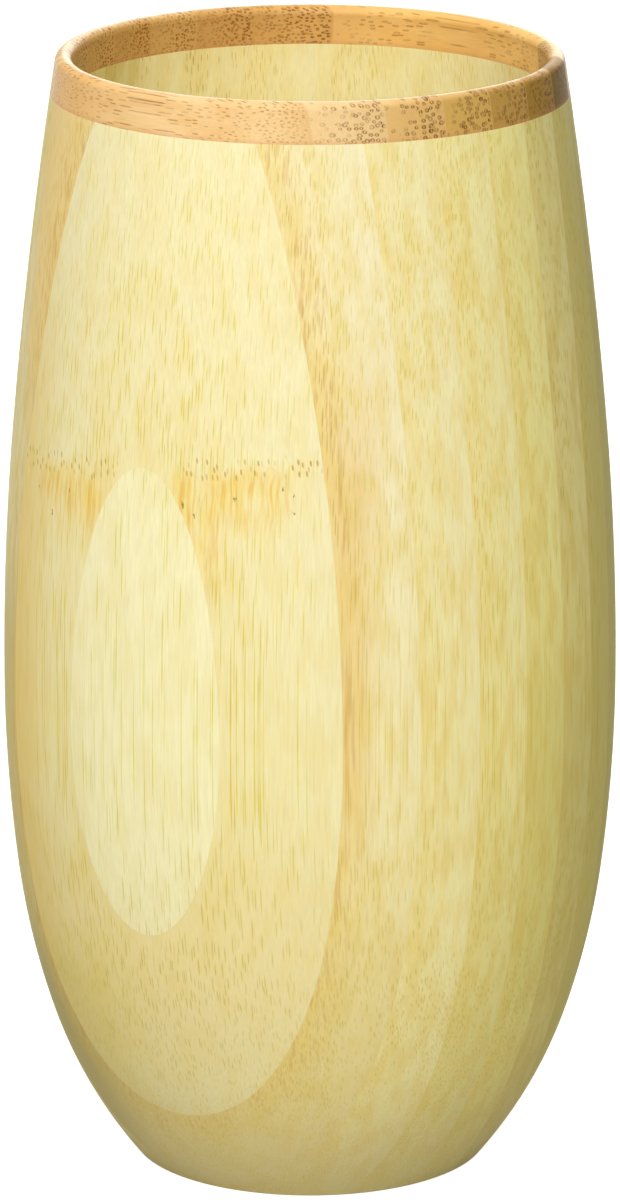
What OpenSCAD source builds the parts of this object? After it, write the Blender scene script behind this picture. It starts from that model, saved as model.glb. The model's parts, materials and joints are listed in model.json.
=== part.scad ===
// Laminated bamboo tumbler: flat boards of bamboo glued face to face and turned to a barrel
// shape on the lathe, with a darker rim turned from a stack of boards of its own.
// Origin at the centre of the flat foot, +Z up along the cup's axis, body boards stacked along Y.

/* [Cup] */
// Height of the whole cup, from the foot to the top of the lip
cup_h = 150; // [130:1:170]
// Outer radius of the cup at the top of the rim
mouth_r = 33.2; // [30:0.2:36]
// Outer radius of the cup at its widest place
belly_r = 40.8; // [38:0.2:44]
// Height of the widest place above the foot
belly_z = 66; // [56:1:76]
// Radius of the flat foot that the cup stands on
foot_r = 23.6; // [20:0.2:27]

/* [Walls] */
// Thickness of the side wall, from the belly down
wall_t = 3.4; // [2.6:0.1:5]
// Thickness of the wall where the rim meets the body
rim_wall_t = 2.75; // [2.2:0.05:3.4]
// Thickness of the rounded lip
lip_t = 2.3; // [1.8:0.1:3]
// Thickness of the floor under the hollow
floor_t = 6; // [4:0.5:10]
// Radius of the round corner between the floor and the side of the hollow
floor_corner_r = 12; // [6:0.5:16]

/* [Rim] */
// Height of the dark rim ring that is glued on top of the body
rim_h = 5.2; // [4:0.1:12]
// How far the rim's boards are turned from the body's boards, in degrees
rim_turn = -7; // [-45:1:45]

/* [Boards] */
// Boards in the block that the body is turned from
body_boards = 12; // [8:1:16]
// Thickness that the lathe leaves of the outermost board in front
front_slice_t = 1.7; // [1:0.1:5]
// Thickness that the lathe leaves of the outermost board at the back
back_slice_t = 5.4; // [1:0.1:7]
// Boards in the stack that the rim is turned from, the middle one on the axis
rim_boards = 9; // [5:2:13]
// How deep the rim's bore cuts into the outermost boards
rim_end_cut = 5.4; // [3:0.1:8]

/* [Side curve] */
// Bend radius of the side above the belly, against one arc from belly to mouth
chest_bend_share = 0.83; // [0.78:0.01:0.95]
// Where that bend gives way to the neck's flatter one, on the way from belly to mouth
chest_top_share = 0.4; // [0.3:0.01:0.6]
// Bend radius of the side just below the belly, against one arc from belly to foot
hip_bend_share = 1.54; // [1.2:0.01:1.6]
// Where the hip's bend gives way to the flank's, as a share of the belly's height
hip_low_share = 0.6; // [0.5:0.01:0.7]
// Bend radius of the flank, against one arc from belly to foot
flank_bend_share = 0.76; // [0.7:0.01:0.9]
// Where the flank's bend gives way to the heel's, as a share of the belly's height
flank_low_share = 0.3; // [0.2:0.01:0.4]

/* [Hidden] */
// Facets once round the turned forms
$fn = 360;
// Turn of the wall from one ring of its outline to the next, in degrees
bend_step = 1;
// The same in the small rounds of the lip and the hollow's corner
round_step = 7.5;
// How far a bounding block runs past the cup
overrun = 5;

body_color = [0.95, 0.89, 0.68];
rim_color = [0.84, 0.66, 0.42];

rim_z = cup_h - rim_h;
lip_r = lip_t / 2;
block_r = belly_r + overrun;

// The wall's outline is a chain of arcs, each going on smoothly from the one before.
// An arc is [centre, radius], and dir() points from its centre to its point at height z.
function dir(arc, z) = let (rise = (z - arc[0].y) / arc[1]) [sqrt(1 - rise * rise), rise];
function inset(arc, t) = [arc[0], arc[1] - t];
// Radius of the one arc that starts upright and leans in by dr over a height dz
function single_arc_r(dz, dr) = (dz * dz + dr * dr) / (2 * dr);
function upright_arc(widest_r, r) = [[widest_r - r, belly_z], r];
// The arc of radius r that goes on from another one at height z
function next_arc(arc, z, r) = [arc[0] + (arc[1] - r) * dir(arc, z), r];
// The arc that goes on from another one at height z and ends at point f
function last_arc(arc, z, f) =
    let (u = dir(arc, z), run = arc[0] + arc[1] * u - f)
    next_arc(arc, z, (run * run) / (2 * (run * u)));
// Points along an arc between two angles, and between two heights
function round_points(arc, from, to, step) =
    let (n = ceil(abs(to - from) / step))
    [for (k = [0:n]) let (a = from + (to - from) * k / n) arc[0] + arc[1] * [cos(a), sin(a)]];
function bend_points(arc, from_z, to_z) =
    round_points(arc, asin(dir(arc, from_z).y), asin(dir(arc, to_z).y), bend_step);
// One path from several that meet end to start
function joined(paths) = [for (path = paths) for (k = [1:len(path) - 1]) path[k]];

neck_z = belly_z + chest_top_share * (cup_h - belly_z);
hip_low_z = hip_low_share * belly_z;
flank_low_z = flank_low_share * belly_z;

outer_chest = upright_arc(belly_r, chest_bend_share * single_arc_r(cup_h - belly_z, belly_r - mouth_r));
outer_neck = last_arc(outer_chest, neck_z, [mouth_r, cup_h]);
low_arc_r = single_arc_r(belly_z, belly_r - foot_r);
outer_hip = upright_arc(belly_r, hip_bend_share * low_arc_r);
outer_flank = next_arc(outer_hip, hip_low_z, flank_bend_share * low_arc_r);
outer_heel = last_arc(outer_flank, flank_low_z, [foot_r, 0]);

// The lip is a half round that goes on from the neck's outer arc
lip_dir = dir(inset(outer_neck, lip_r), cup_h - lip_r);
lip = [outer_neck[0] + (outer_neck[1] - lip_r) * lip_dir, lip_r];
lip_lean = asin(lip_dir.y);
outer_lip_edge = lip[0] + lip_r * lip_dir;
inner_lip_edge = lip[0] - lip_r * lip_dir;

// The rim's bore is straight from the lip down to the body, where the hollow starts to bulge
outer_rim_foot = outer_neck[0] + outer_neck[1] * dir(outer_neck, rim_z);
inner_rim_foot = outer_rim_foot - [rim_wall_t, 0];
inner_belly_r = belly_r - wall_t;
inner_arc_r = single_arc_r(rim_z - belly_z, inner_belly_r - inner_rim_foot.x);
inner_chest = upright_arc(inner_belly_r, chest_bend_share * inner_arc_r);
inner_neck = last_arc(inner_chest, neck_z, inner_rim_foot);
inner_hip = inset(outer_hip, wall_t);
inner_flank = inset(outer_flank, wall_t);
inner_heel = inset(outer_heel, wall_t);

// The corner's arc rolls from the flat floor up into the heel's inner arc
corner_dir = dir(inset(inner_heel, floor_corner_r), floor_t + floor_corner_r);
corner = [inner_heel[0] + (inner_heel[1] - floor_corner_r) * corner_dir, floor_corner_r];
corner_top = corner[0] + floor_corner_r * corner_dir;

// The boards between the two outermost ones share what is left of the belly's width
body_board_t = (2 * belly_r - front_slice_t - back_slice_t) / (body_boards - 2);
// Every glue plane of the rim crosses its bore, so each board but the outermost two is left
// as two blocks, one on each side
rim_board_t = 2 * (inner_lip_edge.x - rim_end_cut) / (rim_boards - 2);
rim_blocks = 2 * rim_boards - 2;

// The whole body as turned, before it is shared out among its boards
module turned_body() {
    outside = [
        bend_points(outer_heel, 0, flank_low_z),
        bend_points(outer_flank, flank_low_z, hip_low_z),
        bend_points(outer_hip, hip_low_z, belly_z),
        bend_points(outer_chest, belly_z, neck_z),
        bend_points(outer_neck, neck_z, rim_z)
    ];
    inside = [
        bend_points(inner_neck, rim_z, neck_z),
        bend_points(inner_chest, neck_z, belly_z),
        bend_points(inner_hip, belly_z, hip_low_z),
        bend_points(inner_flank, hip_low_z, flank_low_z),
        bend_points(inner_heel, flank_low_z, corner_top.y),
        round_points(corner, asin(corner_dir.y), -90, round_step)
    ];
    rotate_extrude() polygon(concat(
        [[0, 0], outside[0][0]],
        joined(outside),
        [inside[0][0]],
        joined(inside),
        [[0, floor_t]]
    ));
}

module turned_rim() {
    outside = bend_points(outer_neck, rim_z, outer_lip_edge.y);
    over = round_points(lip, lip_lean, lip_lean + 180, round_step);
    rotate_extrude() polygon(concat([outside[0]], joined([outside, over]), [inner_rim_foot]));
}

// Board 1 is the thin slice left in front, and the last board is the one at the back
module body_board(i) {
    back_y = front_slice_t - belly_r + (i - 1) * body_board_t;
    first_y = i == 1 ? -block_r : back_y - body_board_t;
    last_y = i == body_boards ? block_r : back_y;
    color(body_color) intersection() {
        turned_body();
        translate([-block_r, first_y, -overrun])
            cube([2 * block_r, last_y - first_y, cup_h + 2 * overrun]);
    }
}

// Block 1 is the front arc, then come the pairs from the front to the back, then the rear arc
module rim_block(i) {
    board = 1 + floor(i / 2);
    outermost = board == 1 || board == rim_boards;
    back_y = (board - rim_boards / 2) * rim_board_t;
    first_y = board == 1 ? -block_r : back_y - rim_board_t;
    last_y = board == rim_boards ? block_r : back_y;
    first_x = outermost || i % 2 == 1 ? -block_r : 0;
    last_x = outermost || i % 2 == 0 ? block_r : 0;
    color(rim_color) rotate(rim_turn) intersection() {
        turned_rim();
        translate([first_x, first_y, rim_z - overrun])
            cube([last_x - first_x, last_y - first_y, rim_h + 2 * overrun]);
    }
}

for (i = [1:body_boards]) {
    body_board(i);
}
for (i = [1:rim_blocks]) {
    rim_block(i);
}
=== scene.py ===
import json
import math
import bmesh
import bpy
import numpy as np
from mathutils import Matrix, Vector

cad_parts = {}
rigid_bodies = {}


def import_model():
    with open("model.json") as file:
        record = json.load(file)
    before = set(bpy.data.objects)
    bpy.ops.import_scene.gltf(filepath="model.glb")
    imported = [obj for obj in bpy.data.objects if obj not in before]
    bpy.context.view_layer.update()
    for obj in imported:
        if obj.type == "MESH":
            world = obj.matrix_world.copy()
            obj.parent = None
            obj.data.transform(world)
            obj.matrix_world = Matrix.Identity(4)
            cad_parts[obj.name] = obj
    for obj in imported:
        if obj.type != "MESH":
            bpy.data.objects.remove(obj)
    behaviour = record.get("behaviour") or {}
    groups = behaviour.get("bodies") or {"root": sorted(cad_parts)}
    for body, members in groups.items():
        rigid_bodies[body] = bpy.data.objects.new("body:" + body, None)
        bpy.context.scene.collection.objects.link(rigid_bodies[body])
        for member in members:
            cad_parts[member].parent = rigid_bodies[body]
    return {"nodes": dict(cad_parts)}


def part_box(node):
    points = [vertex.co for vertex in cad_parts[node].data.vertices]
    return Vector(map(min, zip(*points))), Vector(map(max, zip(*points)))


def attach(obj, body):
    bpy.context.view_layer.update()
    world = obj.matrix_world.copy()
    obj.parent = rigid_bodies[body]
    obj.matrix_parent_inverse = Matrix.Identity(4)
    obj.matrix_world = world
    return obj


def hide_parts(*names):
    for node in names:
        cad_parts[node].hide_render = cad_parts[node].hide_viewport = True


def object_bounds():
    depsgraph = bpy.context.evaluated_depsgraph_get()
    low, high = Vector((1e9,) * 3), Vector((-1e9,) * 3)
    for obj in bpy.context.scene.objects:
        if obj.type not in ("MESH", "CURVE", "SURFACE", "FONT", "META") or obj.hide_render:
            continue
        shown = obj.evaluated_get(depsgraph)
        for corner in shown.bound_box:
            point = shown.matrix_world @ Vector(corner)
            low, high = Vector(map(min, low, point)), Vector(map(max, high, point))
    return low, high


# A cup turned from glued bamboo boards, with a darker rim, in a plain pale studio
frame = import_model()
cadLow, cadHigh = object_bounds()
mm = 0.001               # the scene is in metres, the sizes below are in millimetres
print("frame loaded:", len(frame["nodes"]), "solids")

# The turned outline. Heights and widths that the solids show come from the frame.
cup = {
    "high": cadHigh.z / mm,
    "bellyR": cadHigh.x / mm,
    "rimLow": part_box("rim_block_1")[0].z / mm,
    "bellyZ": 66.0,
    "mouthR": 33.2,
    "footR": 23.6,
    "wall": 3.4,             # from the belly down
    "rimWall": 2.75,         # where the rim stands on the body
    "lip": 2.3,
    "floor": 6.0,
    "floorCornerR": 12.0,    # the round between floor and wall
    "footEdgeR": 0.6,        # the sanded edge round the foot
    # how each bend's radius compares with that of a single arc from belly to mouth or foot, and
    # where the bend ends on that way
    "chestBend": 0.83, "chestTop": 0.4,
    "hipBend": 1.54, "hipLow": 0.6,
    "flankBend": 0.76, "flankLow": 0.3,
    "steps": 384,            # quads once round
    "bendStep": 0.6,         # degrees of an arc from row to row, on the long bends
    "roundStep": 9.0,        # and on the small rounds of the lip and the foot
    "cornerStep": 3.0,       # and on the round between floor and wall
    "discRows": 14,          # rows from the axis out on the floor and under the foot
    "boreRows": 6,           # rows down the rim's bore
}
touching = 1e-8              # points closer than this, in metres, are one


# An arc is (centre radius, centre height, radius). The direction from its centre to its point
# at height z is (sqrt(1 - s*s), s) with s = (z - centre height) / radius.
def arcDirection(arc, z):
    s = (z - arc[1]) / arc[2]
    return np.array([math.sqrt(1 - s * s), s])


# the point itself: centre + radius * direction
def arcPoint(arc, z):
    return np.array(arc[:2]) + arc[2] * arcDirection(arc, z)


# the arc round the same centre, drawn in by a depth
def insetArc(arc, depth):
    return (arc[0], arc[1], arc[2] - depth)


# radius of the arc that starts upright and leans in by dr over dz: (dz*dz + dr*dr) / (2*dr)
def singleArcR(dz, dr):
    return (dz * dz + dr * dr) / (2 * dr)


# the arc that stands upright at the belly, where it has its widest radius
def uprightArc(widest, radius):
    return (widest - radius, cup["bellyZ"], radius)


# The arc of another radius that goes on smoothly from this one at height z:
# its centre is the old centre + (old radius - new radius) * direction
def nextArc(arc, z, radius):
    centre = np.array(arc[:2]) + (arc[2] - radius) * arcDirection(arc, z)
    return (centre[0], centre[1], radius)


# the arc that goes on smoothly at height z and ends at a point: radius = run.run / (2 run.u)
def lastArc(arc, z, end):
    u = arcDirection(arc, z)
    run = arcPoint(arc, z) - np.array(end)
    return nextArc(arc, z, run.dot(run) / (2 * run.dot(u)))


# rows (radius, height, normal out, normal up) along an arc between two angles in degrees:
# centre + r * (cos a, sin a), with the normal (cos a, sin a), turned round on a hollow side
def arcRows(arc, start, end, step, side=1):
    count = max(2, math.ceil(abs(end - start) / step) + 1)
    a = np.radians(np.linspace(start, end, count))
    spoke = np.stack([np.cos(a), np.sin(a)], axis=1)
    return np.hstack([np.array(arc[:2]) + arc[2] * spoke, side * spoke])


# the same between two heights, whose angles are asin((z - centre height) / radius)
def bendRows(arc, fromZ, toZ, side=1):
    start = math.degrees(math.asin(arcDirection(arc, fromZ)[1]))
    end = math.degrees(math.asin(arcDirection(arc, toZ)[1]))
    return arcRows(arc, start, end, cup["bendStep"], side)


# rows on the straight line (1 - t) * start + t * end, all with the same normal
def lineRows(start, end, normal, count):
    t = np.linspace(0, 1, count)[:, None]
    points = (1 - t) * np.array(start) + t * np.array(end)
    return np.hstack([points, np.tile(normal, (count, 1))])


# one run of rows from several that meet end to start
def joinRows(*runs):
    return np.vstack([runs[0]] + [run[1:] for run in runs[1:]])


# the chain of arcs from foot to mouth, outside and inside
c = cup
neckZ = c["bellyZ"] + c["chestTop"] * (c["high"] - c["bellyZ"])
hipLowZ = c["hipLow"] * c["bellyZ"]
flankLowZ = c["flankLow"] * c["bellyZ"]
chestR = c["chestBend"] * singleArcR(c["high"] - c["bellyZ"], c["bellyR"] - c["mouthR"])
lowR = singleArcR(c["bellyZ"], c["bellyR"] - c["footR"])
outerChest = uprightArc(c["bellyR"], chestR)
outerNeck = lastArc(outerChest, neckZ, (c["mouthR"], c["high"]))
outerHip = uprightArc(c["bellyR"], c["hipBend"] * lowR)
outerFlank = nextArc(outerHip, hipLowZ, c["flankBend"] * lowR)
outerHeel = lastArc(outerFlank, flankLowZ, (c["footR"], 0))

lipR = c["lip"] / 2
lipSpoke = arcDirection(insetArc(outerNeck, lipR), c["high"] - lipR)
lipCentre = np.array(outerNeck[:2]) + (outerNeck[2] - lipR) * lipSpoke
lipLean = math.degrees(math.asin(lipSpoke[1]))
innerRimFoot = arcPoint(outerNeck, c["rimLow"]) - np.array([c["rimWall"], 0])

innerBelly = c["bellyR"] - c["wall"]
innerR = c["chestBend"] * singleArcR(c["rimLow"] - c["bellyZ"], innerBelly - innerRimFoot[0])
innerChest = uprightArc(innerBelly, innerR)
innerNeck = lastArc(innerChest, neckZ, innerRimFoot)
innerHip, innerFlank, innerHeel = (insetArc(arc, c["wall"]) for arc in (outerHip, outerFlank, outerHeel))


# A round of radius r that rolls from a level surface at height z into an arc:
# its centre lies at height z + r on the arc drawn in by r
def rollingRound(arc, z, r):
    inner = insetArc(arc, r)
    spoke = arcDirection(inner, z + r)
    centre = np.array(arc[:2]) + inner[2] * spoke
    return (centre[0], centre[1], r), math.degrees(math.asin(spoke[1]))


footEdge, footEdgeEnd = rollingRound(outerHeel, 0, c["footEdgeR"])
floorCorner, floorCornerEnd = rollingRound(innerHeel, c["floor"], c["floorCornerR"])
footEdgeTop = footEdge[1] + footEdge[2] * math.sin(math.radians(footEdgeEnd))
floorCornerTop = floorCorner[1] + floorCorner[2] * math.sin(math.radians(floorCornerEnd))

bodyOutside = joinRows(
    lineRows((0, 0), (footEdge[0], 0), (0, -1), c["discRows"]),
    arcRows(footEdge, -90, footEdgeEnd, c["roundStep"]),
    bendRows(outerHeel, footEdgeTop, flankLowZ),
    bendRows(outerFlank, flankLowZ, hipLowZ),
    bendRows(outerHip, hipLowZ, c["bellyZ"]),
    bendRows(outerChest, c["bellyZ"], neckZ),
    bendRows(outerNeck, neckZ, c["rimLow"]),
)
bodyInside = joinRows(
    bendRows(innerNeck, c["rimLow"], neckZ, -1),
    bendRows(innerChest, neckZ, c["bellyZ"], -1),
    bendRows(innerHip, c["bellyZ"], hipLowZ, -1),
    bendRows(innerFlank, hipLowZ, flankLowZ, -1),
    bendRows(innerHeel, flankLowZ, floorCornerTop, -1),
    arcRows(floorCorner, floorCornerEnd, -90, c["cornerStep"], -1),
    lineRows((floorCorner[0], c["floor"]), (0, c["floor"]), (0, 1), c["discRows"]),
)
bodyRows = np.vstack([bodyOutside, bodyInside])
bodyFlat = len(bodyOutside) - 1      # the band under the rim, square to both walls

lipArc = (lipCentre[0], lipCentre[1], lipR)
lipInnerEdge = lipCentre - lipR * lipSpoke
boreRun = innerRimFoot - lipInnerEdge
boreNormal = np.array([boreRun[1], -boreRun[0]]) / np.hypot(*boreRun)
rimRows = joinRows(
    bendRows(outerNeck, c["rimLow"], (lipCentre + lipR * lipSpoke)[1]),
    arcRows(lipArc, lipLean, lipLean + 180, c["roundStep"]),
    lineRows(lipInnerEdge, innerRimFoot, boreNormal, c["boreRows"]),
)
rimRows = np.vstack([rimRows, rimRows[:1]])
rimFlat = len(rimRows) - 2           # the glued underside
print("outline:", len(bodyRows), "rows on the body,", len(rimRows), "on the rim")


# The wall as turned: each row of the outline goes once round the axis,
# point = (r cos v, r sin v, z) and normal = (n cos v, n sin v, up)
def turnedWall(name, rows, flatBand):
    steps = cup["steps"]
    v = np.linspace(0, 2 * math.pi, steps, endpoint=False)
    around = np.stack([np.cos(v), np.sin(v)], axis=1)
    points = np.empty((len(rows), steps, 3))
    normals = np.empty_like(points)
    points[..., :2] = rows[:, None, :1] * around
    points[..., 2] = rows[:, None, 1]
    normals[..., :2] = rows[:, None, 2:3] * around
    normals[..., 2] = rows[:, None, 3]
    row, col = np.meshgrid(np.arange(len(rows) - 1), np.arange(steps), indexing="ij")
    here = row * steps + col
    beside = row * steps + (col + 1) % steps
    quads = np.stack([here, beside, beside + steps, here + steps], axis=-1).reshape(-1, 4)
    mesh = bpy.data.meshes.new(name)
    mesh.from_pydata((points * mm).reshape(-1, 3), [], quads)
    mesh.polygons.foreach_set("use_smooth", (row != flatBand).ravel())
    kept = mesh.attributes.new("turnedNormal", "FLOAT_VECTOR", "POINT")
    kept.data.foreach_set("vector", normals.ravel())
    return mesh


# corner normals: the face's own on a flat face and the outline's own on a turned one, each divided
# by its length
def useTurnedNormals(mesh):
    turned = np.empty(len(mesh.vertices) * 3)
    mesh.attributes["turnedNormal"].data.foreach_get("vector", turned)
    cornerVertex = np.empty(len(mesh.loops), int)
    mesh.loops.foreach_get("vertex_index", cornerVertex)
    sides = np.empty(len(mesh.polygons), int)
    mesh.polygons.foreach_get("loop_total", sides)
    smooth = np.empty(len(mesh.polygons), bool)
    mesh.polygons.foreach_get("use_smooth", smooth)
    faceNormal = np.empty(len(mesh.polygons) * 3)
    mesh.polygons.foreach_get("normal", faceNormal)
    corner = turned.reshape(-1, 3)[cornerVertex]
    flat = np.repeat(~smooth, sides)
    corner[flat] = np.repeat(faceNormal.reshape(-1, 3), sides, axis=0)[flat]
    corner /= np.linalg.norm(corner, axis=1, keepdims=True)
    mesh.attributes.remove(mesh.attributes["turnedNormal"])
    mesh.normals_split_custom_set(corner)


def addToScene(name, data):
    made = bpy.data.objects.new(name, data)
    bpy.context.scene.collection.objects.link(made)
    return made


# Saws a piece out of the turned wall. Each cut is (a point on the plane, the side taken away),
# and every cut face is closed and left flat. Turned faces keep the outline's own normals.
def sawnPiece(name, wall, cuts):
    bm = bmesh.new()
    bm.from_mesh(wall)
    bmesh.ops.remove_doubles(bm, verts=bm.verts, dist=touching)
    for point, away in cuts:
        parts = bm.verts[:] + bm.edges[:] + bm.faces[:]
        cut = bmesh.ops.bisect_plane(bm, geom=parts, dist=touching, plane_co=point, plane_no=away,
                                     clear_outer=True)
        edges = [e for e in cut["geom_cut"] if isinstance(e, bmesh.types.BMEdge)]
        filled = bmesh.ops.triangle_fill(bm, use_beauty=True, edges=edges, normal=away)
        for face in filled["geom"]:
            if isinstance(face, bmesh.types.BMFace):
                face.smooth = False
                if face.normal.dot(away) < 0:
                    face.normal_flip()
    mesh = bpy.data.meshes.new(name)
    bm.to_mesh(mesh)
    bm.free()
    useTurnedNormals(mesh)
    return addToScene(name, mesh)


# A colour as a picture editor shows it, 0 to 255, made linear for a shader. Of v = value / 255
# it takes v / 12.92 in the darkest tones and ((v + 0.055) / 1.055) to the power 2.4 in the others.
def paint(red, green, blue):
    v = np.array([red, green, blue]) / 255
    linear = np.where(v <= 0.04045, v / 12.92, ((v + 0.055) / 1.055) ** 2.4)
    return (*linear, 1.0)


# Shader nodes in short, for one material or world: an input that is a socket gets linked, a number
# or a colour gets set
class Wiring:
    def __init__(self, owner):
        owner.use_nodes = True
        self.tree = owner.node_tree
        self.tree.nodes.clear()

    def feed(self, socket, value):
        if isinstance(value, bpy.types.NodeSocket):
            self.tree.links.new(value, socket)
        else:
            socket.default_value = value

    def add(self, kind, inputs=None, **settings):
        made = self.tree.nodes.new("ShaderNode" + kind)
        for key, value in settings.items():
            setattr(made, key, value)
        for key, value in (inputs or {}).items():
            self.feed(made.inputs[key], value)
        return made

    def maths(self, operation, *values, clamp=False):
        return self.add("Math", dict(enumerate(values)), operation=operation, use_clamp=clamp).outputs[0]

    def times(self, value, *factors):
        for factor in factors:
            value = self.maths("MULTIPLY", value, factor)
        return value

    def over(self, a, b):
        return self.maths("DIVIDE", a, b)

    def plus(self, a, b):
        return self.maths("ADD", a, b)

    def minus(self, a, b):
        return self.maths("SUBTRACT", a, b)

    def larger(self, a, b):
        return self.maths("MAXIMUM", a, b)

    # how far apart two numbers are
    def gap(self, a, b):
        return self.maths("ABSOLUTE", self.minus(a, b))

    # value * factor + rest
    def timesPlus(self, value, factor, rest, clamp=False):
        return self.maths("MULTIPLY_ADD", value, factor, rest, clamp=clamp)

    def vector(self, operation, *values, output=0):
        return self.add("VectorMath", dict(enumerate(values)), operation=operation).outputs[output]

    def join(self, x, y=0.0, z=0.0):
        return self.add("CombineXYZ", {0: x, 1: y, 2: z}).outputs[0]

    def split(self, v):
        return self.add("SeparateXYZ", {0: v}).outputs

    # goes from one value to another while the input goes from start to end
    def fade(self, value, start, end, before=0.0, after=1.0, smooth=True):
        kind = "SMOOTHSTEP" if smooth else "LINEAR"
        inputs = {"Value": value, "From Min": start, "From Max": end, "To Min": before, "To Max": after}
        return self.add("MapRange", inputs, interpolation_type=kind).outputs[0]

    # inputs 6 and 7 of a Mix node are its two colours
    def mix(self, share, a, b, mode="MIX"):
        made = self.add("Mix", {0: share, 6: a, 7: b}, data_type="RGBA", blend_type=mode)
        return made.outputs[2]

    # output 0 is one noise, output 1 is three of them as a colour
    def noise(self, where, detail=2.0, rough=0.5, output=0):
        inputs = {"Vector": where, "Scale": 1.0, "Detail": detail, "Roughness": rough}
        return self.add("TexNoise", inputs).outputs[output]

    # noise in lumps that are so many millimetres long on each axis
    def lumps(self, at, size, shift=0.0, **noiseLook):
        scaled = [self.over(axis, length) for axis, length in zip(at, size)]
        if shift:
            scaled[0] = self.plus(scaled[0], shift)
        return self.noise(self.join(*scaled), **noiseLook)

    # cells across the grain, one for each bundle or tick
    def cells(self, where, jitter):
        inputs = {"Vector": where, "Scale": 1.0, "Randomness": jitter}
        return self.add("TexVoronoi", inputs, voronoi_dimensions="2D", feature="F1").outputs


# Bamboo as a solid texture, in millimetres. Bundles of fibres run along the grain. Across it each
# one is a dark ring round a pale middle, darkest towards the two faces of its board. They stand
# close together at the dense face, which lay outside in the stem, and thin out towards the other.
#
# These values are the same in every board. A size is (across, through the board, along the grain),
# and a fade is (from, to, value before, value after).
grain = {
    "wanderWide": 3.0,                         # the wander's waves are so much wider than deep
    "bundleSizes": (1.25, 0.8),                # how far distances stretch, finest and fattest
    "ringSolid": 0.55,                         # the part of a ring's half width that is full
    "middleSolid": 0.4,                        # and of a middle's radius
    "brokenSize": (1 / 3, 1 / 3, 6.0),         # breaks in the rings
    "brokenFade": (0.36, 0.54, 0.5, 1.0),
    "stretchSize": (1 / 0.13, 12.5, 25.0),     # stretches of a board with fewer or more bundles
    "stretchFade": (0.35, 0.65),
    "flowGain": 0.4,                           # what a full one gains of what an empty one loses
    "presentFade": (-0.04, 0.06),              # how sharply bundles drop out
    "comeAndGo": (0.34, 0.54, 0.5, 1.0),       # of each bundle along its length
    "skin": (0.05, 0.35),                      # no bundle shows this close to the glue
    "cloudFade": (0.36, 0.66),
    "cloudDetail": 3.0,
    "cloudRough": 0.55,
    "denseTone": (0.0, 0.9, 0.3, 0.0),         # the dense face is deeper
    "fineSize": (1 / 4.5, 1 / 4.5, 7.0),       # single fibres
    "fineRough": 0.6,
    "fineFade": (0.3, 0.7),
    "fineGreys": (0.95, 1.04),
    "zoneSolid": 0.4,                          # the part of a zone's half width that is full
    "zoneGrain": (0.35, 0.6, 0.7, 1.0),
    "faceStretch": (0.34, 0.6, 0.35, 0.8),     # the face's stain, from stretch to stretch
    "faceFull": 1.0,                           # how deep it is full
    "faceRagged": 2.4,                         # how far single fibres carry it
    "faceEdge": 1.2,
    "faceStrength": 0.75,
    "streakSize": (1 / 1.8, 1 / 1.1, 16.0),    # streaks in it
    "streakFade": (0.5, 0.66, 0.0),
    "capFacing": (0.1, 0.8),                   # from side grain to end grain
    "capTone": (0.0, 0.8, 0.6, 1.0),           # bundles are fainter in the palest clouds
    "lowCapFade": (62.0, 24.0, 0.0, 0.9),      # these three by the height over the foot
    "yellowFade": (120.0, 45.0, 0.0, 0.6),
    "footFade": (2.0, 20.0, 0.1, 1.0),
    "jointHigh": 0.7,                          # the glue line's soft upper edge
    "jointShare": 0.35,
    "bumpFine": 0.5,
    "bumpStrength": 0.6,
    "roughSpread": 0.06,
    # shifts that keep one board's pattern from going on in the next
    "wanderShift": 7.3,
    "cellShift": 31.7,
    "stretchShift": 5.7,
    "cloudShift": 3.1,
    "phaseShift": 97.0,
}
# The clouds run from "pale" to "deep". Bundles stand "spacing" apart, and "stretch" times as far
# through the board. Each has a dark ring of radius "ringR" and half width "ringHalf", paler at its
# sides by "lean", round a middle of radius "middleR". From "thinFrom" of the way to the pale face
# they get fewer by "thinned" and fainter by "faded". "cap" is their dark, "faceCap" the same in the
# stained dense face and "lowCap" low on the body, "end" is end grain, "joint" the glue line under the
# rim, and "low" what the body's colour is multiplied by low down. A zone of another tone is
# (x, half its width, height, half its height, strength, colour); some zones are real stains, and
# some are painted shade on the cup's left and right sides.
bodyLook = {
    "pale": paint(244, 231, 150), "deep": paint(236, 214, 124), "low": (1.0, 0.985, 0.8, 1.0),
    "face": paint(242, 213, 130), "faceDepth": 2.6, "faceShare": 0.3, "denseBack": False,
    "streak": paint(212, 156, 82), "streakShare": 0.0,
    "cap": paint(229, 212, 104), "faceCap": paint(216, 166, 88), "lowCap": paint(216, 196, 116),
    "capStrength": 1.0, "capEndStrength": 0.42,
    "spacing": 0.28, "stretch": 1.6, "jitter": 0.95,
    "ringR": 0.0, "ringHalf": 0.085, "lean": 0.0, "middleR": 0.0,
    "thinFrom": 0.0, "thinned": 0.3, "faded": 0.3, "fadeLength": 12.0, "flow": 0.75,
    "wander": 0.16, "wanderLength": 48.0,
    "cloud": 0.75, "cloudSize": (2.8, 1.8, 7.0), "zones": (),
    "end": paint(224, 206, 140), "endFrom": 0.12, "endTo": 0.75, "endShare": 0.75,
    "roughness": 0.58, "specular": 0.03, "bump": 0.01,
}
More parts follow.
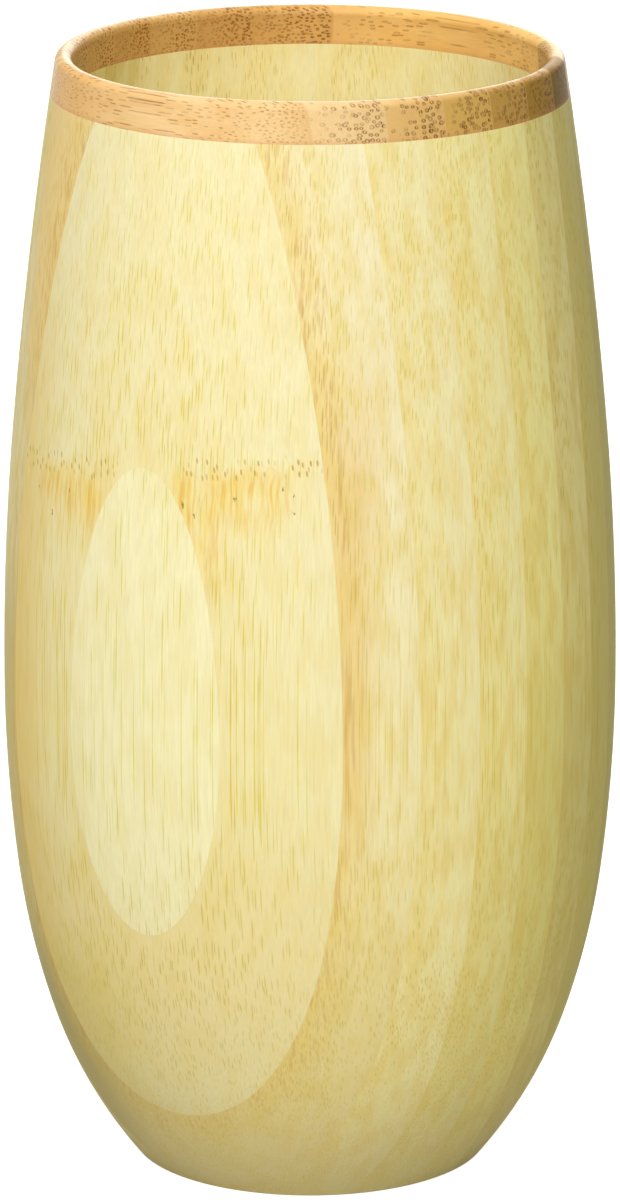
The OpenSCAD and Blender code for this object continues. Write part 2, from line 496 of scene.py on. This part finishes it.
boardLooks = {
    1: {"pale": paint(252, 243, 194), "deep": paint(248, 235, 174), "low": (1.0, 1.0, 0.95, 1.0),
        "cap": paint(226, 214, 92), "capStrength": 0.9, "faceShare": 0.0,
        "spacing": 0.42, "stretch": 2.0, "ringHalf": 0.115,
        "thinned": 0.4, "faded": 0.1, "flow": 0.4},
    2: {"pale": paint(249, 238, 188), "deep": paint(245, 228, 162), "low": (1.0, 0.99, 0.86, 1.0),
        "cap": paint(228, 212, 96), "capStrength": 0.95, "faceShare": 0.12,
        "spacing": 0.37, "stretch": 2.0, "ringHalf": 0.105, "flow": 0.3, "cloud": 0.6,
        "zones": ((-32.0, 18.0, 60.0, 90.0, 0.7, paint(250, 212, 112)),
                  (0.0, 40.0, 36.0, 22.0, 0.25, paint(238, 205, 126)),
                  (-20.0, 22.0, 18.0, 26.0, 0.5, paint(238, 214, 108)))},
    3: {"pale": paint(250, 238, 192), "deep": paint(243, 224, 156),
        "cap": paint(228, 208, 104), "faceCap": paint(206, 150, 84), "capStrength": 0.75,
        "faceShare": 0.9, "faceDepth": 3.4, "streakShare": 0.7,
        "spacing": 0.32, "stretch": 1.7, "ringHalf": 0.1,
        "thinned": 0.2, "faded": 0.1, "flow": 0.5,
        "zones": ((-20.0, 8.0, 130.0, 34.0, 0.9, paint(252, 218, 146)),
                  # painted shade: the next two zones darken board 3 along the cup's left edge, most of all
                  # near the foot
                  (-26.0, 22.0, 2.0, 50.0, 1.0, paint(182, 170, 124)),
                  (-32.0, 14.0, 58.0, 34.0, 0.85, paint(216, 200, 140)),
                  (24.0, 60.0, 24.0, 30.0, 0.4, paint(230, 202, 112)),
                  (24.0, 6.0, 84.0, 40.0, 0.4, paint(236, 188, 112)))},
    4: {"pale": paint(249, 238, 182), "deep": paint(243, 222, 148), "capStrength": 0.85},
    # painted shade: the olive zones at x 42 on boards 5 to 9 darken the cup's right side, away from the
    # lamps
    5: {"pale": paint(250, 239, 174), "deep": paint(244, 222, 140), "capStrength": 0.85,
        "zones": ((42.0, 40.0, 34.0, 30.0, 0.28, paint(216, 200, 108)),)},
    6: {"pale": paint(250, 239, 162), "deep": paint(243, 221, 132), "capStrength": 0.85,
        "zones": ((42.0, 40.0, 50.0, 34.0, 0.35, paint(212, 195, 108)),)},
    7: {"pale": paint(243, 230, 157), "deep": paint(233, 212, 127), "cap": paint(214, 196, 92),
        "zones": ((42.0, 40.0, 48.0, 32.0, 0.35, paint(204, 188, 112)),)},
}
# painted shade: an olive zone darkens boards 8 and 9 along the cup's right edge
for i, rightShadeColour in ((8, paint(216, 200, 112)), (9, paint(198, 187, 108))):
    boardLooks[i] = {"pale": paint(253, 241, 180), "deep": paint(248, 229, 152),
                     "cap": paint(206, 188, 84), "capStrength": 0.8,
                     "zones": ((42.0, 16.0, 75.0, 160.0, 0.9, rightShadeColour),)}
for i in (10, 11, 12):
    boardLooks[i] = {"pale": paint(255, 245, 188), "deep": paint(252, 236, 164), "capStrength": 0.75}

rimLook = {
    "pale": paint(246, 206, 142), "deep": paint(234, 188, 118), "joint": paint(216, 150, 96),
    "face": paint(222, 172, 104), "faceDepth": 4.0, "faceShare": 0.6, "denseBack": True,
    "streakShare": 0.0,
    "cap": paint(100, 52, 6), "faceCap": paint(92, 46, 4), "middle": paint(250, 214, 142),
    "capStrength": 0.8, "capEndStrength": 1.0, "middleStrength": 0.7,
    "spacing": 0.72, "stretch": 1.0, "jitter": 0.85,
    "ringR": 0.18, "ringHalf": 0.14, "lean": 0.4, "middleR": 0.14,
    "thinFrom": 0.45, "thinned": 0.7, "faded": 0.45, "fadeLength": 9.0, "flow": 0.1,
    "wander": 0.3, "wanderLength": 26.0,
    "cloud": 0.6, "cloudSize": (2.0, 2.4, 9.0), "zones": (),
    "end": paint(222, 178, 106), "endFrom": 0.5, "endTo": 0.95, "endShare": 0.9,
    "roughness": 0.36, "specular": 0.12, "bump": 0.015,
}
# for blocks whose bundles are finer: the front and rear arcs and most of those on the left
fineRimLook = {
    "spacing": 0.45, "jitter": 0.95, "ringR": 0.06, "ringHalf": 0.12, "middleR": 0.0,
    "thinFrom": 0.3, "thinned": 0.35,
    "cap": paint(150, 88, 30), "faceCap": paint(136, 74, 24), "capStrength": 0.85,
}
blockLooks = {
    1: {**fineRimLook, "pale": paint(246, 206, 146), "deep": paint(237, 190, 122),
        "cap": paint(152, 88, 42), "faceCap": paint(140, 80, 36), "capEndStrength": 0.45,
        "spacing": 0.42, "ringR": 0.0, "ringHalf": 0.13,
        "thinned": 0.2, "faded": 0.1, "fadeLength": 5.0,
        "zones": ((-24.0, 24.0, 150.0, 30.0, 0.75, paint(236, 182, 100)),
                  (23.0, 12.0, 150.0, 30.0, 0.7, paint(247, 212, 153)))},
    2: {"pale": paint(247, 214, 157), "deep": paint(238, 200, 139), "end": paint(231, 196, 135),
        "cap": paint(140, 96, 48), "faceCap": paint(128, 86, 42),
        "spacing": 0.68, "ringR": 0.17, "ringHalf": 0.11,
        "zones": ((21.0, 5.0, 150.0, 30.0, 0.7, paint(245, 206, 146)),)},
    5: {**fineRimLook, "end": paint(226, 180, 112)},
    6: {"pale": paint(236, 192, 122), "deep": paint(222, 174, 100), "end": paint(212, 169, 88)},
    7: {**fineRimLook, "end": paint(222, 173, 94)},
    8: {"pale": paint(226, 180, 106), "deep": paint(208, 160, 86), "end": paint(190, 148, 68)},
    9: {**fineRimLook, "end": paint(210, 160, 82)},
    10: {"pale": paint(214, 168, 94), "deep": paint(196, 150, 76), "end": paint(168, 128, 44),
         "specular": 0.04},
    11: {**fineRimLook, "end": paint(214, 166, 90)},
    12: {"pale": paint(180, 140, 74), "deep": paint(162, 124, 58), "end": paint(128, 99, 22),
         "specular": 0.02},
    13: {**fineRimLook, "pale": paint(234, 186, 114), "deep": paint(220, 166, 90),
         "end": paint(208, 158, 86)},
    14: {**fineRimLook, "pale": paint(236, 194, 124), "deep": paint(218, 172, 100),
         "end": paint(182, 146, 68)},
    15: {**fineRimLook, "pale": paint(235, 185, 110), "deep": paint(221, 166, 88),
         "end": paint(209, 158, 86), "cap": paint(130, 70, 18), "thinned": 0.15},
    16: {**fineRimLook, "pale": paint(254, 208, 127), "deep": paint(245, 190, 104),
         "spacing": 0.62, "capStrength": 0.55, "thinned": 0.5,
         "zones": ((-24.0, 16.0, 150.0, 30.0, 0.8, paint(236, 182, 106)),)},
}


# The bundles: how far a point is from the middle of its bundle, the dark ring there, and how
# strongly that bundle shows
def fibreBundles(w, look, at, share, stretches, seed):
    across, depth, along = at
    # the fibres wander slowly sideways on their way along the board
    length = look["wanderLength"]
    sway = w.split(w.lumps(at, (grain["wanderWide"] * length, length, length),
                           seed * grain["wanderShift"], detail=1.0, output=1))
    wander = 2 * look["wander"]
    swayed = [w.timesPlus(w.minus(sway[k], 0.5), wander, axis) for k, axis in enumerate((across, depth))]
    cellAt = w.join(w.plus(w.over(swayed[0], look["spacing"]), seed * grain["cellShift"]),
                    w.over(swayed[1], look["spacing"] * look["stretch"]))
    cells = w.cells(cellAt, look["jitter"])
    chance, size, phase = w.add("SeparateColor", {0: cells["Color"]}).outputs[:3]
    fromMiddle = w.vector("SUBTRACT", cellAt, cells["Position"])
    finest, fattest = (look["spacing"] * stretch for stretch in grain["bundleSizes"])
    apart = w.times(w.vector("LENGTH", fromMiddle, output=1),
                    w.fade(size, 0, 1, finest, fattest, smooth=False))
    ring = w.fade(w.gap(apart, look["ringR"]), look["ringHalf"], look["ringHalf"] * grain["ringSolid"])
    towardsFace = w.maths("ABSOLUTE", w.split(w.vector("NORMALIZE", fromMiddle))[1])
    ring = w.times(ring, w.fade(towardsFace, 0, 1, 1 - look["lean"], 1.0, smooth=False))
    if look["middleR"]:
        ring = w.times(ring, w.fade(w.lumps(at, grain["brokenSize"], detail=0.0), *grain["brokenFade"]))

    # fewer and fainter bundles towards the pale face and in some stretches of the board, and each
    # bundle comes and goes along its length
    limit = w.plus(w.fade(share, look["thinFrom"], 1, 1.0, 1 - look["thinned"], smooth=False),
                   w.fade(stretches, *grain["stretchFade"], -look["flow"],
                          look["flow"] * grain["flowGain"], smooth=False))
    present = w.fade(w.minus(limit, chance), *grain["presentFade"])
    fadeAt = w.join(w.times(phase, grain["phaseShift"]), w.over(along, look["fadeLength"]), seed)
    strong = w.times(w.fade(w.noise(fadeAt), *grain["comeAndGo"]),
                     w.fade(share, look["thinFrom"], 1, 1.0, 1 - look["faded"]))
    return apart, ring, w.times(present, strong)


# The wood's stains and painted shade: zones of another tone, some stains and some painted shade, and
# the dense face, stained deeper in one stretch than in the next and here and there in streaks
def stainsAndPaintedShade(w, look, at, x, z, behind, base, fine, stretches):
    zone = 0.0
    for zoneX, halfX, zoneZ, halfZ, strength, colour in look["zones"]:
        nearX = w.fade(w.gap(x, zoneX), halfX, halfX * grain["zoneSolid"], 0.0, strength)
        nearZ = w.fade(w.gap(z, zoneZ), halfZ, halfZ * grain["zoneSolid"])
        inZone = w.times(nearX, nearZ, w.fade(fine, *grain["zoneGrain"]))
        base = w.mix(inZone, base, colour)
        zone = w.larger(zone, inZone)
    faceHere = w.larger(w.fade(stretches, *grain["faceStretch"]), zone)
    nearFace = w.fade(w.timesPlus(fine, grain["faceRagged"], behind), grain["faceFull"],
                      look["faceDepth"] + grain["faceEdge"], 1.0, 0.0)
    stained = w.times(nearFace, faceHere, look["faceShare"])
    base = w.mix(w.times(stained, grain["faceStrength"]), base, look["face"])
    if look["streakShare"]:
        streak = w.fade(w.lumps(at, grain["streakSize"], rough=grain["fineRough"]),
                        *grain["streakFade"], look["streakShare"])
        base = w.mix(w.times(streak, stained), base, look["streak"])
    return base, stained


# "level" is for the rim, whose grain lies along X; the body's stands upright. "front" and "thick"
# place the board in its stack, which is turned by "turn" degrees.
def bambooMaterial(name, look, front, thick, seed, turn=0.0, level=False, mark=None):
    material = bpy.data.materials.new(name)
    w = Wiring(material)
    place = w.add("TexCoord").outputs
    lie = (0, 0, math.radians(-turn))
    point = w.add("Mapping", {"Vector": place["Object"], "Scale": (1 / mm,) * 3, "Rotation": lie})
    x, depth, z = w.split(point.outputs[0])
    normal = w.add("Mapping", {"Vector": place["Normal"], "Rotation": lie}, vector_type="VECTOR")
    normalX, _, normalZ = w.split(normal.outputs[0])
    across, along = (z, x) if level else (x, z)
    at = (across, depth, along)
    facing = w.maths("ABSOLUTE", normalX if level else normalZ)
    behind = w.minus(front + thick, depth) if look["denseBack"] else w.minus(depth, front)
    share = w.fade(behind, 0, thick, smooth=False)

    # clouds of tone, longer along the grain, and a fine grain of single fibres
    cloud = w.fade(w.lumps(at, look["cloudSize"], seed * grain["cloudShift"],
                           detail=grain["cloudDetail"], rough=grain["cloudRough"]), *grain["cloudFade"])
    fine = w.lumps(at, grain["fineSize"], rough=grain["fineRough"])
    tone = w.timesPlus(cloud, look["cloud"], w.fade(share, *grain["denseTone"]), clamp=True)
    base = w.mix(tone, look["pale"], look["deep"])

    stretches = w.lumps(at, grain["stretchSize"], seed * grain["stretchShift"])
    base, stained = stainsAndPaintedShade(w, look, at, x, z, behind, base, fine, stretches)
    apart, ring, bundle = fibreBundles(w, look, at, share, stretches, seed)
    bundle = w.times(bundle, w.fade(behind, *grain["skin"]))
    if look["middleR"]:
        middle = w.fade(apart, look["middleR"], look["middleR"] * grain["middleSolid"])
        base = w.mix(w.times(bundle, middle, look["middleStrength"]), base, look["middle"])
    # end grain drinks more lacquer and turns darker
    base = w.mix(w.fade(facing, look["endFrom"], look["endTo"], 0, look["endShare"]), base, look["end"])

    cap = w.mix(stained, look["cap"], look["faceCap"])
    if not level:
        cap = w.mix(w.fade(z, *grain["lowCapFade"]), cap, look["lowCap"])
    capStrength = w.times(w.fade(facing, *grain["capFacing"], look["capStrength"], look["capEndStrength"]),
                          w.fade(tone, *grain["capTone"]))
    dark = w.times(bundle, ring, capStrength)
    base = w.mix(dark, base, cap)

    if level:
        joint = w.fade(z, cup["rimLow"] + grain["jointHigh"], cup["rimLow"], 0.0, grain["jointShare"])
        base = w.mix(joint, base, look["joint"])
    else:
        yellowing = w.times(w.fade(z, *grain["yellowFade"]), w.fade(z, *grain["footFade"]))
        base = w.mix(yellowing, base, look["low"], "MULTIPLY")
    if mark:
        base = addNodeMark(w, mark, base, x, z)
    grey = w.fade(fine, *grain["fineFade"], *grain["fineGreys"], smooth=False)
    base = w.mix(1.0, base, w.join(grey, grey, grey), "MULTIPLY")

    height = w.minus(w.times(fine, grain["bumpFine"]), dark)
    bumped = w.add("Bump", {"Height": height, "Strength": grain["bumpStrength"],
                            "Distance": look["bump"] * mm})
    rough = w.fade(fine, *grain["fineFade"], look["roughness"] + grain["roughSpread"],
                   look["roughness"] - grain["roughSpread"], smooth=False)
    shader = w.add("BsdfPrincipled", {"Base Color": base, "Roughness": rough, "Normal": bumped.outputs[0],
                                      "Specular IOR Level": look["specular"]})
    w.add("OutputMaterial", {"Surface": shader.outputs[0]})
    return material


# A stem's joint crosses board 2: a row of short dark ends, stained fibres under it and a few specks.
# A stain hangs from it at (x, half its width, how far down, strength); a speck is (x, height).
nodeMark = {
    "board": 2,
    "high": 101.9, "rise": 0.11, "wave": 1.6, "waveLength": 5.0,
    "tick": paint(204, 166, 80), "tickWide": 0.16, "tickTall": 0.52, "tickFade": (1.0, 0.45),
    "pitch": 0.72, "rowPitch": 1.5, "rowSlant": 0.15, "rowFade": (1.0, 0.7), "jitter": 1.0,
    "bare": (-3.7, 4.9),                                # no ticks between here and there
    "paleTick": 0.15, "strength": 0.85, "chanceFade": (0.1, 0.7),
    "stain": paint(248, 216, 114), "streak": paint(236, 180, 78), "stainShare": 0.8,
    "stainAt": ((-12.5, 9.5, 12.0, 0.8), (12.0, 11.0, 11.0, 0.8), (8.0, 5.5, 20.0, 0.8)),
    "stainSolid": (0.4, 0.2),                           # of its half width, and of its drop
    "swaySize": (3.5, 6.0), "sway": 1.6,
    "streakSize": (0.6, 14.0), "streakRough": 0.6, "streakFade": (0.46, 0.6),
    "patchSize": (2.4, 7.0), "patchFade": (0.32, 0.6, 0.3, 1.0),
    "ragged": 1.6, "underFade": (-1.0, 1.6, 1.0, 0.0),
    "speck": paint(116, 92, 42), "speckR": 0.18, "speckSolid": 0.3, "speckShare": 0.75,
    "speckTall": 2.0, "speckBend": 0.8, "bendSize": (1 / 2.2, 1 / 1.2),
    "specks": ((-19.6, 96.0), (-12.7, 97.2), (-16.2, 93.6), (6.0, 98.2), (7.7, 97.1), (12.8, 99.6),
               (18.4, 101.1), (19.8, 100.3), (19.9, 98.1)),
}


# Height over the joint's line is t = z - (high + rise * x + wave). Ticks are small ovals, one in each
# cell of two rows along the line; stains are soft ovals that hang from it, drawn out into streaks.
def addNodeMark(w, mark, base, x, z):
    wave = w.minus(w.lumps((x,), (mark["waveLength"],), detail=1.0), 0.5)
    line = w.timesPlus(wave, mark["wave"], w.timesPlus(x, mark["rise"], mark["high"]))
    t = w.minus(z, line)

    sway = w.minus(w.lumps((x, z), mark["swaySize"], detail=1.0), 0.5)
    swayed = w.timesPlus(sway, mark["sway"], x)
    streak = w.fade(w.lumps((swayed, z), mark["streakSize"], rough=mark["streakRough"]), *mark["streakFade"])
    patch = w.fade(w.lumps((swayed, z), mark["patchSize"]), *mark["patchFade"])
    sideSolid, dropSolid = mark["stainSolid"]
    stain = 0.0
    for middleX, halfWide, drop, strength in mark["stainAt"]:
        side = w.fade(w.gap(x, middleX), halfWide, halfWide * sideSolid)
        below = w.fade(t, -drop, -drop * dropSolid)
        stain = w.larger(stain, w.times(below, strength, side))
    ragged = w.timesPlus(streak, mark["ragged"], t)
    stain = w.times(stain, w.fade(ragged, *mark["underFade"]), patch, mark["stainShare"])
    base = w.mix(stain, base, mark["stain"])
    base = w.mix(w.times(stain, streak), base, mark["streak"])

    rowsAt = w.join(w.over(w.timesPlus(t, mark["rowSlant"], x), mark["pitch"]), w.over(t, mark["rowPitch"]))
    cells = w.cells(rowsAt, mark["jitter"])
    chance = w.split(cells["Color"])[0]
    stretched = (mark["pitch"] / mark["tickWide"], mark["rowPitch"] / mark["tickTall"], 0)
    fromMiddle = w.vector("MULTIPLY", w.vector("SUBTRACT", rowsAt, cells["Position"]), stretched)
    tick = w.fade(w.vector("LENGTH", fromMiddle, output=1), *mark["tickFade"])
    inRow = w.fade(w.maths("ABSOLUTE", w.split(cells["Position"])[1]), *mark["rowFade"])
    left, right = mark["bare"]
    ends = w.larger(w.fade(x, left, left - 1), w.fade(x, right, right + 1))
    shown = w.fade(chance, *mark["chanceFade"], mark["paleTick"], mark["strength"])
    base = w.mix(w.times(tick, shown, ends, inRow), base, mark["tick"])

    bend = w.vector("SUBTRACT", w.lumps((x, z), mark["bendSize"], output=1), (0.5, 0.5, 0.5))
    here = w.vector("ADD", w.join(x, w.over(z, mark["speckTall"])),
                    w.vector("MULTIPLY", bend, (mark["speckBend"], mark["speckBend"], 0)))
    spot = 0.0
    for speckX, speckZ in mark["specks"]:
        near = w.vector("DISTANCE", here, (speckX, speckZ / mark["speckTall"], 0), output=1)
        spot = w.larger(spot, w.fade(near, mark["speckR"], mark["speckR"] * mark["speckSolid"]))
    return w.mix(w.times(spot, mark["speckShare"]), base, mark["speck"])


# The body: flat boards, each sawn out of the turned wall between its two glue planes
bodyWall = turnedWall("bodyWall", bodyRows, bodyFlat)
boardCount = sum(name.startswith("body_board_") for name in frame["nodes"])
boardBacks = [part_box(f"body_board_{i}")[1].y for i in range(1, boardCount)]
boardThick = (boardBacks[1] - boardBacks[0]) / mm
towards = Vector((0, -1, 0))
for i in range(1, boardCount + 1):
    cuts = []
    if i > 1:
        cuts.append((Vector((0, boardBacks[i - 2], 0)), towards))
    if i < boardCount:
        cuts.append((Vector((0, boardBacks[i - 1], 0)), -towards))
    piece = sawnPiece(f"turned_board_{i}", bodyWall, cuts)
    front = boardBacks[0] / mm + (i - 2) * boardThick
    look = {**bodyLook, **boardLooks.get(i, {})}
    mark = nodeMark if i == nodeMark["board"] else None
    piece.data.materials.append(bambooMaterial(f"bodyBamboo{i}", look, front, boardThick, i, mark=mark))
    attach(piece, "root")
    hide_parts(f"body_board_{i}")
print("body:", boardCount, "boards")

# The rim: its own stack of boards, turned a little, the middle one on the axis. The bore cuts
# "endCut" deep into the outermost boards.
rim = {"turn": -7.0, "boards": 9, "endCut": 5.4, "firstSeed": 20}
rimWall = turnedWall("rimWall", rimRows, rimFlat)
rimThick = 2 * (lipInnerEdge[0] - rim["endCut"]) / (rim["boards"] - 2)
turn = math.radians(rim["turn"])
stackAxis = Vector((-math.sin(turn), math.cos(turn), 0))      # through the boards, front to back
boardAxis = Vector((math.cos(turn), math.sin(turn), 0))       # along the boards
blockCount = 2 * rim["boards"] - 2
for i in range(1, blockCount + 1):
    board = 1 + i // 2
    back = (board - rim["boards"] / 2) * rimThick * mm
    outermost = board in (1, rim["boards"])
    cuts = []
    if board > 1:
        cuts.append(((back - rimThick * mm) * stackAxis, -stackAxis))
    if board < rim["boards"]:
        cuts.append((back * stackAxis, stackAxis))
    if not outermost:
        cuts.append((Vector(), boardAxis if i % 2 else -boardAxis))
    piece = sawnPiece(f"turned_rim_block_{i}", rimWall, cuts)
    look = {**rimLook, **blockLooks.get(i, {})}
    front = back / mm - rimThick
    seed = rim["firstSeed"] + board
    piece.data.materials.append(bambooMaterial(f"rimBamboo{i}", look, front, rimThick, seed,
                                               rim["turn"], level=True))
    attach(piece, "root")
    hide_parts(f"rim_block_{i}")
print("rim:", blockCount, "blocks")


# 1 for a ray from the camera, a gloss or a clear piece, which all see a white background, else 0
def backgroundRay(w):
    rays = w.add("LightPath").outputs
    return w.larger(rays["Is Camera Ray"], w.larger(rays["Is Glossy Ray"], rays["Is Transmission Ray"]))


# The stage: a pale floor that the camera sees as white, apart from the cup's shadow
floorLook = {
    "size": 8.0,             # metres
    "drop": 0.02 * mm,       # under the foot, so that the two faces don't fight
    "colour": paint(180, 179, 173),
    "cameraGlow": 0.9,
}
reach, floorZ = floorLook["size"] / 2, -floorLook["drop"]
corners = [(-reach, -reach, floorZ), (reach, -reach, floorZ),
           (reach, reach, floorZ), (-reach, reach, floorZ)]
floorMesh = bpy.data.meshes.new("floor")
floorMesh.from_pydata(corners, [], [(0, 1, 2, 3)])
floor = addToScene("floor", floorMesh)
floorMaterial = bpy.data.materials.new("paleFloor")
w = Wiring(floorMaterial)
matt = w.add("BsdfDiffuse", {"Color": floorLook["colour"]})
strength = w.times(backgroundRay(w), floorLook["cameraGlow"])
glow = w.add("Emission", {"Color": (1, 1, 1, 1), "Strength": strength})
both = w.add("AddShader", {0: matt.outputs[0], 1: glow.outputs[0]})
w.add("OutputMaterial", {"Surface": both.outputs[0]})
floorMesh.materials.append(floorMaterial)

# The world: white where it is seen, a soft grey light for everything else
worldLook = {"ambient": 0.07}
world = bpy.data.worlds.new("studio")
bpy.context.scene.world = world
w = Wiring(world)
strength = w.fade(backgroundRay(w), 0, 1, worldLook["ambient"], 1.0)
sky = w.add("Background", {"Color": (1, 1, 1, 1), "Strength": strength})
w.add("OutputWorld", {"Surface": sky.outputs[0]})

# The camera stands where the photograph's outline of the cup puts it: degrees round the cup, and
# millimetres
shot = {"round": 33.17, "away": 966.9, "high": 343.99, "aimHigh": 75.66, "lens": 150.62, "film": 24.0}


# a point seen at an angle round the cup (0 is straight in front, positive to the right)
def roundCup(angle, away, high):
    a = math.radians(angle)
    return Vector((away * math.sin(a), -away * math.cos(a), high)) * mm


def aimAt(thing, target):
    thing.rotation_euler = (target - thing.location).to_track_quat("-Z", "Y").to_euler()


camera = addToScene("camera", bpy.data.cameras.new("camera"))
camera.data.sensor_fit = "VERTICAL"
camera.data.sensor_height = shot["film"]
camera.data.lens = shot["lens"]
camera.location = roundCup(shot["round"], shot["away"], shot["high"])
aimAt(camera, Vector((0, 0, shot["aimHigh"] * mm)))
bpy.context.scene.camera = camera

# Lamps: how many degrees round the cup from the camera's side, how far and how high each one
# stands, how wide it is, in millimetres, and how strong
lamps = {
    "key": {"round": -20, "away": 1720, "high": 1640, "wide": 1100, "watts": 26.0},
    "fill": {"round": 12, "away": 2160, "high": 1080, "wide": 1100, "watts": 25.0},
    "left": {"round": -100, "away": 1150, "high": 2200, "wide": 1100, "watts": 20.5},
    "back": {"round": 180, "away": 1543, "high": 1914, "wide": 1100, "watts": 5.0},
    "lip": {"round": 170, "away": 1900, "high": 680, "wide": 1100, "watts": 12.0},
}
for name, lamp in lamps.items():
    light = addToScene(name, bpy.data.lights.new(name, "AREA"))
    light.data.shape = "SQUARE"
    light.data.size = lamp["wide"] * mm
    light.data.energy = lamp["watts"]
    light.location = roundCup(shot["round"] + lamp["round"], lamp["away"], lamp["high"])
    aimAt(light, Vector((0, 0, shot["aimHigh"] * mm)))
print("stage, camera and", len(lamps), "lamps")

bpy.context.scene.view_settings.view_transform = "Standard"
